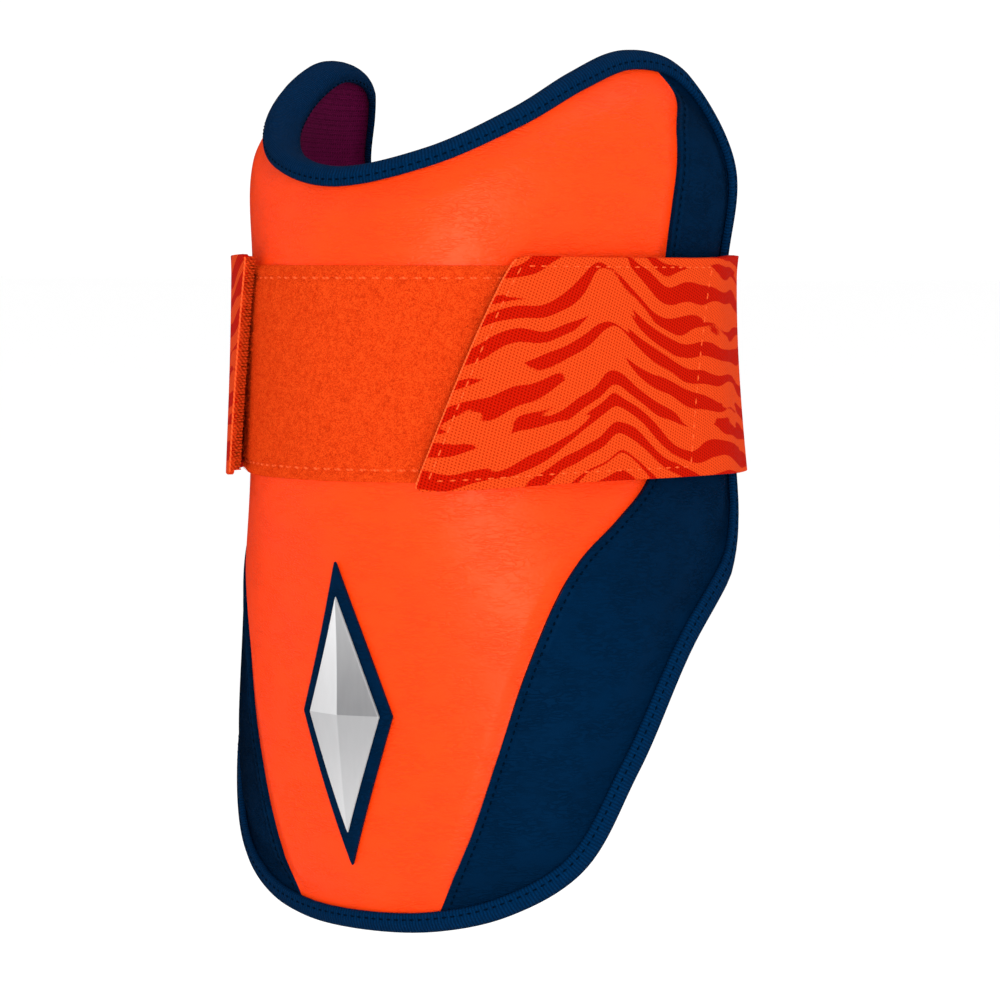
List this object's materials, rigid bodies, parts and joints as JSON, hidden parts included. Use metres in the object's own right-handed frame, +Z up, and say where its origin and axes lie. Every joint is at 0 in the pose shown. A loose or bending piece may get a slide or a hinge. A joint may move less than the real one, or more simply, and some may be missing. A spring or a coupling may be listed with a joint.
{
  "type": "batter's elbow guard",
  "caption": "Padded leather elbow guard: a curved shell with a dipped top and bound edge, worn on the outside of the arm and closed behind it by a hook-and-loop strap.",
  "frame": {"origin": "on the axis of the arm that wears the guard, at the middle of the loop patch's width", "axes": "+Z up the arm towards the shoulder, -Y to the guard's padded front, +X to the right of someone facing the front"},
  "size_m": [0.1414, 0.129, 0.2291],
  "materials": {
    "orange_leather": "smooth fine-grained leather, satin",
    "navy_leather": "smooth fine-grained leather, satin",
    "maroon_mesh": "dotted wicking mesh, matt",
    "navy_tape": "ribbed woven binding tape, matt",
    "orange_loop": "brushed loop pile, matt",
    "orange_hook": "hook tape, matt",
    "striped_web": "woven elastic webbing with printed stripes, matt",
    "silver_rubber": "moulded faceted badge, satin silver"
  },
  "bodies": {
    "root": {"front_panel": "orange_leather", "side_panel_left": "navy_leather", "side_panel_right": "navy_leather", "lining": "maroon_mesh", "edge_binding": "navy_tape", "loop_patch": "orange_loop", "hook_pad_right": "orange_hook", "hook_pad_left": "orange_hook", "strap": "striped_web", "badge_border": "navy_leather", "badge_plate": "silver_rubber"}
  },
  "joints": []
}
